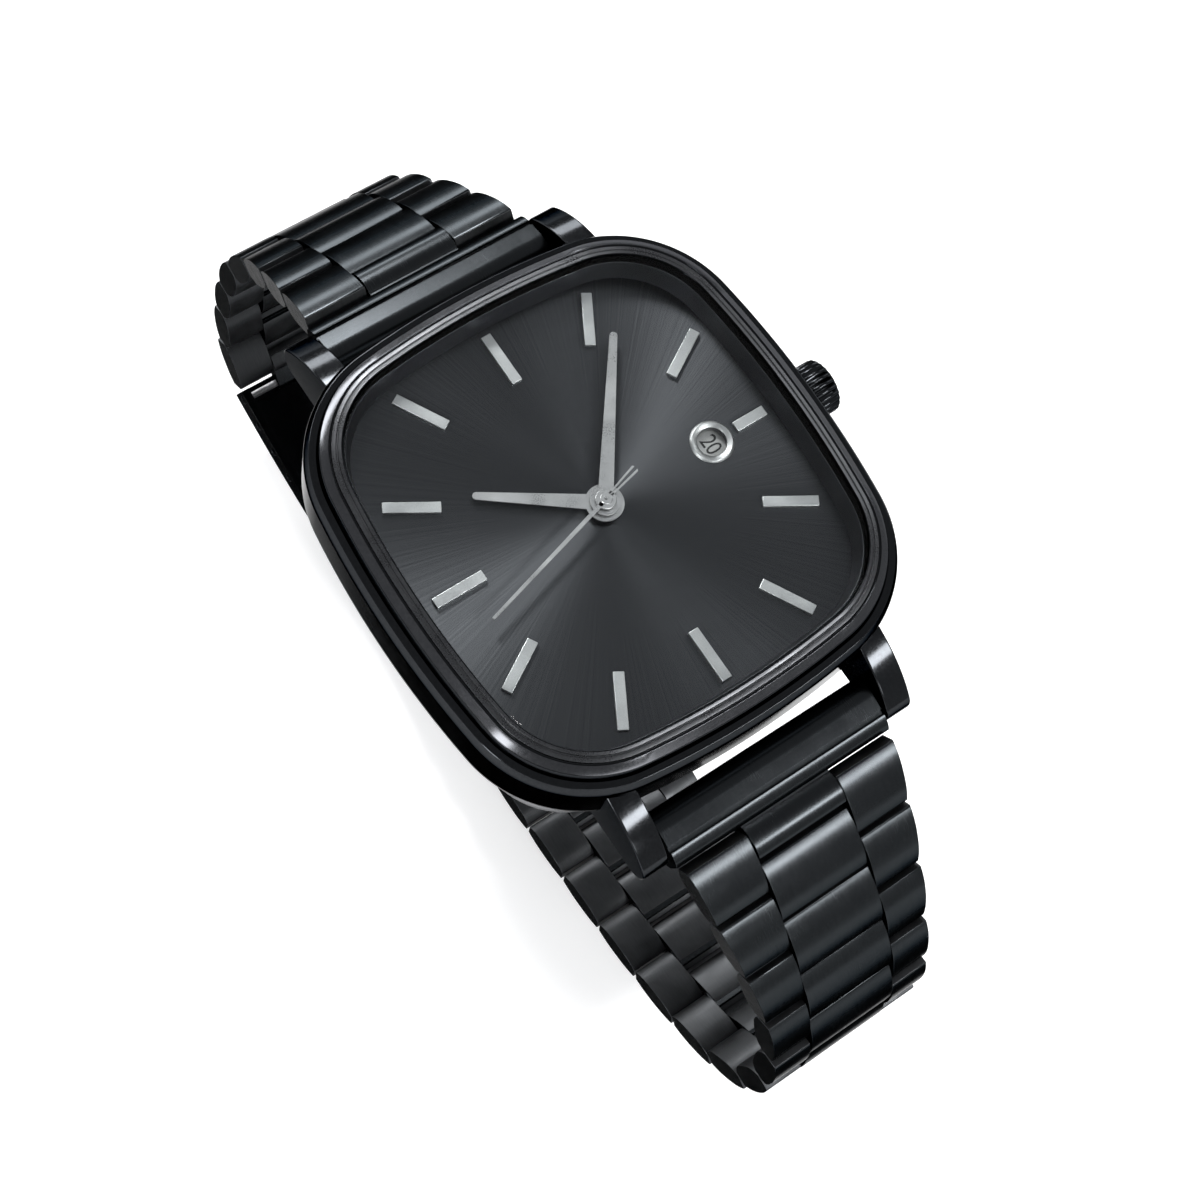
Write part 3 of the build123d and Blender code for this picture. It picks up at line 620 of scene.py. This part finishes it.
# Mid-case: wall, ledge, neck and the satin slope round the dial in one sweep,
# and four lugs.
wall_line = rounded(
    [
        (WALL_INSET, BACK_TOP_Z, 0),
        (0.9, BACK_TOP_Z, 0.12),
        (-0.1, 3.35, 3.0),
        (-0.1, 7.7, 1.0),
        (0.3, LEDGE_Z, 0.12),
        (NECK_INSET, LEDGE_Z, 0),
        (NECK_INSET, NECK_Z, 0.03),
        (2.95, NECK_Z, 0.04),
        (3.39, DIAL_Z, 0.03),
        (WALL_INSET, DIAL_Z, 0),
    ],
    steps=6,
)
choices = []
for start, end in sides_of(wall_line):
    choices += [int(min(start[0], end[0]) > DIAL_SLOPE_INSET)] * len(outline)
verts, faces = swept_ring(wall_line)
add_mesh(
    "case_wall", verts, faces, [case_black, slope_black],
    "case", ["mid_case"], choices=choices, sharp=SHARP_CASE,
)
lug_line = arc_through((18.6, LUG_TOP_Z), (21.55, 5.9), LUG_TIP, LUG_STEPS)
lug_line += arc_through(LUG_TIP, (24.5, 2.3), (23.35, LUG_FOOT_Z), LUG_STEPS)[1:]
lug_line += [(LUG_ROOT_Y, LUG_FOOT_Z), (LUG_ROOT_Y, LUG_TOP_Z)]
lugs = [
    prism(
        lug_line,
        level(side * LUG_INNER_X),
        level(side * LUG_OUTER_X),
        lambda y, z, x, end=end: (x, end * y, z),
    )
    for side in (1, -1)
    for end in (1, -1)
]
verts, faces = merged(*lugs)
add_mesh("case_lugs", verts, faces, [lug_painted_sheen], "case", edge=0.16)

# Crystal with a ground edge.
bands = [
    (NECK_INSET, NECK_Z + 0.01),
    (NECK_INSET, CRYSTAL_EDGE_Z),
    (CRYSTAL_TOP_INSET, CRYSTAL_TOP_Z),
]
verts = [point for inset, z in bands for point in outline_at(inset, z)]
count = len(outline)
faces = band_faces(len(bands), count)
faces += [tuple(range(count)), tuple(range(2 * count, 3 * count))]
add_mesh("crystal_pane", verts, faces, [glass], "case", ["crystal"], sharp=SHARP_PANE)


# Bracelet.
def strand_pivots(slopes):
    """Distance out and height of each pivot of a strand."""
    out, height = SPRING_BAR_Y, SPRING_BAR_Z
    pivots = [(out, height)]
    for slope in slopes:
        step = END_LINK_REACH if len(pivots) == 1 else LINK_SPACING
        out += step * cos(radians(slope))
        height -= step * sin(radians(slope))
        pivots.append((out, height))
    return pivots


def half_width(number):
    """Half the bracelet's width at a pivot."""
    share = TAPER_SHARES[min(number, len(TAPER_SHARES) - 1)]
    return CLASP_HALF_WIDTH + (END_HALF_WIDTH - CLASP_HALF_WIDTH) * share


def strand_place(pivot, slope, side):
    """Maps a distance along the strand, one outwards and one across to a point."""
    out, height = pivot
    turn = radians(slope)

    def place(s, t, x):
        y = side * (out + s * cos(turn) + t * sin(turn))
        return (x, y, height - s * sin(turn) + t * cos(turn))

    return place


def across(line, half, place):
    """A solid that reaches half its width to each side of the strand's middle."""
    return prism(line, level(-half), level(half), place)


def column_line(start, end):
    """Side view of a link's column: a crowned top and a rounded underside."""
    middle, reach = (start + end) / 2, (end - start) / 2
    crown = LINK_CROWN + CROWN_LIFT - LINK_EDGE
    belly = LINK_UNDER + LINK_HIP
    line = []
    for step in range(CROWN_STEPS + 1):
        share = -cos(pi * step / CROWN_STEPS)
        line.append((middle + reach * share, LINK_EDGE + crown * (1 - abs(share) ** CROWN_POWER)))
    for step in range(UNDER_STEPS + 1):
        share = cos(pi * step / UNDER_STEPS)
        line.append((middle + reach * share, LINK_HIP - belly * (1 - abs(share) ** UNDER_POWER)))
    return line


def pin_line():
    """Side view of a round pin."""
    angles = [2 * pi * k / PIN_STEPS for k in range(PIN_STEPS)]
    return [(PIN_RADIUS * cos(angle), PIN_RADIUS * sin(angle)) for angle in angles]


def box_line(start, end, bottom, top):
    return [(start, bottom), (end, bottom), (end, top), (start, top)]


def link_solids(number, last, place):
    """The columns, bridge and pin of one link, and the last link's tongue."""
    near, far = half_width(number), half_width(number + 1)
    slope = (far - near) / (OUTER_END - OUTER_START)
    outer = column_line(OUTER_START, OUTER_END)
    centre = column_line(CENTRE_START, OUTER_END if last else CENTRE_END)
    bridge_end = OUTER_END - LINK_SLANT
    bridge = box_line(CENTRE_START + LINK_SLANT, bridge_end, -BRIDGE_UNDER, GROOVE_FLOOR)
    solids = [
        prism(outer, level(COLUMN_INNER), lambda s: near + (s - OUTER_START) * slope, place),
        prism(outer, lambda s: -near - (s - OUTER_START) * slope, level(-COLUMN_INNER), place),
        across(centre, CENTRE_HALF, place),
        across(bridge, COLUMN_INNER, place),
        across(pin_line(), COLUMN_INNER, place),
    ]
    if last:
        angles = [pi * k / TONGUE_STEPS for k in range(TONGUE_STEPS + 1)]
        tongue = [(bridge_end, TONGUE_HALF), (bridge_end, -TONGUE_HALF)]
        tongue += [(LINK_SPACING + TONGUE_HALF * sin(a), -TONGUE_HALF * cos(a)) for a in angles]
        solids.append(across(tongue, CENTRE_HALF, place))
    return solids


def end_link_solids(place):
    """The hood over the spring bar and the column that joins the first link."""
    hood_end = END_LINK_REACH - LINK_SPACING / 4 - LINK_GAP / 2
    tongue_end = END_LINK_REACH + LINK_SPACING / 4 - LINK_GAP / 2
    groove_floor = END_LINK_NOSE - END_GROOVE_DEPTH
    start = hood_end - LINK_SLANT
    angles = [radians(NOSE_START - NOSE_SWEEP * k / NOSE_STEPS) for k in range(NOSE_STEPS + 1)]
    hood = [(END_LINK_NOSE * cos(angle), END_LINK_NOSE * sin(angle)) for angle in angles]
    hood += [
        (END_GROOVE_START, END_LINK_NOSE),
        (END_GROOVE_START, groove_floor),
        (END_GROOVE_END, groove_floor),
        (END_GROOVE_END, END_LINK_NOSE),
    ]
    hood += arc_through(hood[-1], HOOD_MIDDLE, (hood_end, LINK_EDGE), HOOD_STEPS)[1:]
    hood += [(hood_end, LINK_HIP), (start, -LINK_UNDER)]
    block = box_line(start, tongue_end - LINK_SLANT, -LINK_UNDER, LINK_EDGE)
    column = column_line(tongue_end - (LINK_SPACING - LINK_GAP) / 2, tongue_end)
    return [
        across(hood, END_HALF_WIDTH, place),
        across(block, CENTRE_HALF, place),
        across(column, CENTRE_HALF, place),
    ]


def undersides(solids):
    """For each face, 1 on a column's underside, which takes the paler material of painted light,
    and 0 elsewhere.
    """
    return [
        int(len(points) == 2 * COLUMN_POINTS and UNDER_START <= k < COLUMN_POINTS)
        for points, polygons in solids
        for k in range(len(polygons))
    ]


for strand, side, slopes in (("12", 1, SHORT_SLOPES), ("6", -1, LONG_SLOPES)):
    pivots = strand_pivots(slopes)
    for number, slope in enumerate(slopes):
        place = strand_place(pivots[number], slope, side)
        if number:
            node = f"link_{strand}_{number:02d}"
            solids = link_solids(number, number == len(slopes) - 1, place)
        else:
            node = f"end_link_{strand}"
            solids = end_link_solids(place)
        verts, faces = merged(*solids)
        add_mesh(
            f"{node}_crowned", verts, faces, [link_black, link_under_painted_light],
            node, [node], edge=0.11, choices=undersides(solids),
        )

# Crown with rounded flutes. Rings are (distance out, radius, share of the
# flutes' depth).
CROWN_BASE_X = 19.55
CROWN_TIP = 2.4
STEM_Z = 4.95
FLUTES = 24
FLUTE_STEPS = 8
FLUTE_DEPTH = 0.24
CROWN_POINTS = FLUTES * FLUTE_STEPS
crown_rings = [
    (0.0, 2.1, 0.0),
    (0.14, 2.25, 1.0),
    (1.95, 2.25, 1.0),
    (2.1, 2.12, 0.6),
    (2.14, 2.0, 0.0),
    (2.28, 1.75, 0.0),
    (2.37, 1.1, 0.0),
]


def crown_ring(x, radius, flute):
    """One ring of the crown: flute is how deep its flutes are cut, as a share."""
    points = []
    for k in range(CROWN_POINTS):
        angle = 2 * pi * k / CROWN_POINTS
        dip = (0.5 - 0.5 * cos(2 * pi * k / FLUTE_STEPS)) ** 2
        reach = radius - FLUTE_DEPTH * flute * dip
        points.append((CROWN_BASE_X + x, reach * cos(angle), STEM_Z + reach * sin(angle)))
    return points


verts = [point for ring in crown_rings for point in crown_ring(*ring)]
tip = len(verts)
verts.append((CROWN_BASE_X + CROWN_TIP, 0, STEM_Z))
rim = tip - CROWN_POINTS
faces = band_faces(len(crown_rings), CROWN_POINTS)
faces += [(rim + k, rim + (k + 1) % CROWN_POINTS, tip) for k in range(CROWN_POINTS)]
faces.append(tuple(range(CROWN_POINTS)))
add_mesh(
    "crown_fluted", verts, faces, [case_black], "crown", ["crown"], sharp=SHARP_CROWN
)

# Date figures, printed on the disc with their tops outwards.
DISC_TOP_Z = 6.6
DATE_RADIUS = 10.15
DAYS = 31
SHOWN_DAY = 20
FIGURE_SIZE = 2.0
FIGURE_WIDTH = 0.8
FIGURE_SPACING = 0.9
FIGURE_DEPTH = 0.004
FIGURE_LIFT = 0.006
figures = bmesh.new()
for day in range(1, DAYS + 1):
    text = bpy.data.curves.new("figure", "FONT")
    text.body = str(day)
    text.size = FIGURE_SIZE * MM
    text.align_x = "CENTER"
    text.align_y = "CENTER"
    text.resolution_u = 3
    text.space_character = FIGURE_SPACING
    text.extrude = FIGURE_DEPTH * MM
    holder = bpy.data.objects.new("figure", text)
    flat = bpy.data.meshes.new_from_object(holder)
    turn = Matrix.Rotation(radians((day - SHOWN_DAY) * 360 / DAYS), 4, "Z")
    spot = Matrix.Translation((DATE_RADIUS * MM, 0, (DISC_TOP_Z + FIGURE_LIFT) * MM))
    upright = Matrix.Rotation(-pi / 2, 4, "Z")
    flat.transform(turn @ spot @ upright @ Matrix.Diagonal((FIGURE_WIDTH, 1, 1, 1)))
    figures.from_mesh(flat)
    bpy.data.objects.remove(holder)
figure_mesh = bpy.data.meshes.new("date_figures")
figures.to_mesh(figure_mesh)
figures.free()
figure_mesh.materials.append(date_ink)
date_figures = bpy.data.objects.new("date_figures", figure_mesh)
scene.collection.objects.link(date_figures)
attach(date_figures, "date_disc")

# Second hand: needle, forked tail and a stepped boss on its arbor.
SECOND_Z = 8.42
SECOND_TOP_Z = 8.56
BOSS_TOP_Z = 8.66
ARBOR_FOOT_Z = 5.8
SECOND_TIP = 12.89
SECOND_TAIL = 3.5
FORK_ROOT = 0.5
SECOND_HEADING = radians(195.5)
HOLE_RADIUS = 0.14
CAP_RADIUS = 0.46
HUB_RADIUS = 0.8
ARBOR_RADIUS = 0.15
BOSS_BEVEL = 0.04
BOSS_STEPS = 40


def second_place(a, b, z):
    """A point a along the second hand at rest and b across it."""
    x = a * cos(SECOND_HEADING) - b * sin(SECOND_HEADING)
    y = a * sin(SECOND_HEADING) + b * cos(SECOND_HEADING)
    return (x, y, z)


def turned(profile, count):
    """A solid turned about z from (radius, z) pairs that start and end on the axis."""
    verts = [(0, 0, profile[0][1])]
    angles = [2 * pi * k / count for k in range(count)]
    for radius, z in profile[1:-1]:
        verts += [(radius * cos(angle), radius * sin(angle), z) for angle in angles]
    last = len(verts)
    verts.append((0, 0, profile[-1][1]))
    faces = [(0, 1 + k, 1 + (k + 1) % count) for k in range(count)]
    faces += [tuple(1 + k for k in face) for face in band_faces(len(profile) - 2, count)]
    faces += [(last, last - count + (k + 1) % count, last - count + k) for k in range(count)]
    return verts, faces


# Lines of (distance out, distance across).
needle_line = [(0, -0.17), (SECOND_TIP - 0.06, -0.12), (SECOND_TIP, -0.06)]
needle_line += [(a, -b) for a, b in reversed(needle_line)]
tail_lines = [
    [
        (-FORK_ROOT, 0.04 * side),
        (-SECOND_TAIL, 0.15 * side),
        (-SECOND_TAIL + 0.1, 0.3 * side),
        (-FORK_ROOT, 0.17 * side),
    ]
    for side in (1, -1)
]
boss_profile = [
    (0, SECOND_TOP_Z),
    (HOLE_RADIUS, SECOND_TOP_Z),
    (HOLE_RADIUS, BOSS_TOP_Z),
    (CAP_RADIUS - BOSS_BEVEL, BOSS_TOP_Z),
    (CAP_RADIUS, BOSS_TOP_Z - BOSS_BEVEL),
    (CAP_RADIUS, SECOND_TOP_Z),
    (HUB_RADIUS - BOSS_BEVEL, SECOND_TOP_Z),
    (HUB_RADIUS, SECOND_TOP_Z - BOSS_BEVEL),
    (HUB_RADIUS, SECOND_Z),
    (ARBOR_RADIUS, SECOND_Z),
    (ARBOR_RADIUS, ARBOR_FOOT_Z),
    (0, ARBOR_FOOT_Z),
]
second_solids = [
    prism(line, level(SECOND_Z), level(SECOND_TOP_Z), second_place)
    for line in [needle_line] + tail_lines
]
verts, faces = merged(*second_solids, turned(boss_profile, BOSS_STEPS))
add_mesh(
    "second_hand_forked", verts, faces, [hand_silver], "second_hand", ["second_hand"]
)

# CAD nodes that keep their shape.
dress("dial", dial_black)
dress("hour_markers", silver, edge=0.05)
dress("date_frame", frame_silver, edge=0.03)
dress("hour_hand", hand_silver)
dress("minute_hand", hand_silver)
dress("date_disc", disc_silver)
dress("movement", movement_metal, edge=0.05)
dress("case_back", back_steel, edge=0.12)
dress("spring_bars", pin_steel, edge=0.05)
dress("crown_tube", pin_steel)
dress("crown_stem", pin_steel)
dress("cover_pins", pin_steel)
dress("fold_pin", pin_steel)
dress("clasp_cover", case_black, edge=0.1)
dress("outer_blade", blade_steel, edge=0.05)
dress("inner_blade", blade_steel, edge=0.05)

# Stage: pale floor, studio lamps, world and camera.
FLOOR_REACH = 3.0
FLOOR_COLOUR = (0.9, 0.9, 0.9, 1)
FLOOR_ROUGHNESS = 0.9
FLOOR_GLOW = 0.25


def floor_material():
    """Pale floor that glows a little to the camera, also in a mirror or through glass."""
    maker = Maker("floor_pale")
    shader = maker.shader
    shader.inputs["Base Color"].default_value = FLOOR_COLOUR
    shader.inputs["Roughness"].default_value = FLOOR_ROUGHNESS
    shader.inputs["Emission Color"].default_value = (1, 1, 1, 1)
    ray = maker.node("ShaderNodeLightPath").outputs
    seen = maker.calculate("ADD", ray["Is Camera Ray"], ray["Is Glossy Ray"])
    seen = maker.calculate("ADD", seen, ray["Is Transmission Ray"], use_clamp=True)
    maker.link(maker.calculate("MULTIPLY", seen, FLOOR_GLOW), shader.inputs["Emission Strength"])
    return maker.material


floor_z = cad_box[0].z
floor_corners = [(-1, -1), (1, -1), (1, 1), (-1, 1)]
floor_mesh = bpy.data.meshes.new("floor")
floor_mesh.from_pydata(
    [(x * FLOOR_REACH, y * FLOOR_REACH, floor_z) for x, y in floor_corners], [], [(0, 1, 2, 3)]
)
floor_mesh.materials.append(floor_material())
floor = bpy.data.objects.new("floor", floor_mesh)
scene.collection.objects.link(floor)


def add_lamp(name, place, aim, size, power):
    """A rectangular soft lamp at place that looks at aim, in metres and watts."""
    light = bpy.data.lights.new(name, "AREA")
    light.shape = "RECTANGLE"
    light.size, light.size_y = size
    light.energy = power
    lamp = bpy.data.objects.new(name, light)
    lamp.location = place
    lamp.rotation_mode = "QUATERNION"
    lamp.rotation_quaternion = (Vector(aim) - Vector(place)).to_track_quat("-Z", "Y")
    scene.collection.objects.link(lamp)


CASE = (0, 0, 0)
BRACELET = (0, 0, -0.01)
add_lamp("low", place=(0.0, 0.8, 0.2), aim=CASE, size=(0.9, 0.16), power=7.0)
add_lamp("key", place=(0.12, 0.62, 0.55), aim=CASE, size=(0.2, 0.16), power=4.2)
add_lamp("side", place=(0.6, 0.1, 0.3), aim=CASE, size=(0.12, 0.5), power=0.8)
add_lamp("front", place=(-0.1, -0.65, 0.3), aim=BRACELET, size=(0.5, 0.12), power=1.0)
add_lamp("top", place=(0.217, -0.448, 0.49), aim=BRACELET, size=(0.3, 0.1), power=3.0)
add_lamp("left", place=(-0.6, -0.1, 0.25), aim=CASE, size=(0.12, 0.5), power=2.5)

# World: a little brighter at the horizon than overhead, as (position, colour).
WORLD_RAMP = ((0.05, (0.62, 0.63, 0.64, 1)), (0.75, (0.42, 0.425, 0.44, 1)))
world = bpy.data.worlds.new("studio")
scene.world = world
world.use_nodes = True
tree = world.node_tree
sky = tree.nodes["Background"]
direction = tree.nodes.new("ShaderNodeTexCoord")
split = tree.nodes.new("ShaderNodeSeparateXYZ")
ramp = tree.nodes.new("ShaderNodeValToRGB")
tree.links.new(direction.outputs["Generated"], split.inputs["Vector"])
tree.links.new(split.outputs["Z"], ramp.inputs["Fac"])
tree.links.new(ramp.outputs["Color"], sky.inputs["Color"])
for number, (position, colour) in enumerate(WORLD_RAMP):
    ramp.color_ramp.elements[number].position = position
    ramp.color_ramp.elements[number].color = colour
sky.inputs["Strength"].default_value = 1.0

# Camera where the photograph was taken from: rows are image right, image down
# and forward.
CAMERA_PLACE = (-0.05608, -0.03935, 0.16230)
CAMERA_ROWS = ((0.8141, -0.561, 0.1504), (-0.4915, -0.8034, -0.3361), (0.3093, 0.1997, -0.9298))
CAMERA_LENS = 68.0
CAMERA_SENSOR = 36.0
CAMERA_NEAR = 0.005
right, down, forward = (Vector(row) for row in CAMERA_ROWS)
camera_data = bpy.data.cameras.new("camera")
camera_data.lens = CAMERA_LENS
camera_data.sensor_width = CAMERA_SENSOR
camera_data.clip_start = CAMERA_NEAR
camera = bpy.data.objects.new("camera", camera_data)
facing = Matrix((right, -down, -forward)).transposed()
camera.matrix_world = Matrix.Translation(CAMERA_PLACE) @ facing.to_4x4()
scene.collection.objects.link(camera)
scene.camera = camera
scene.view_settings.view_transform = "Standard"
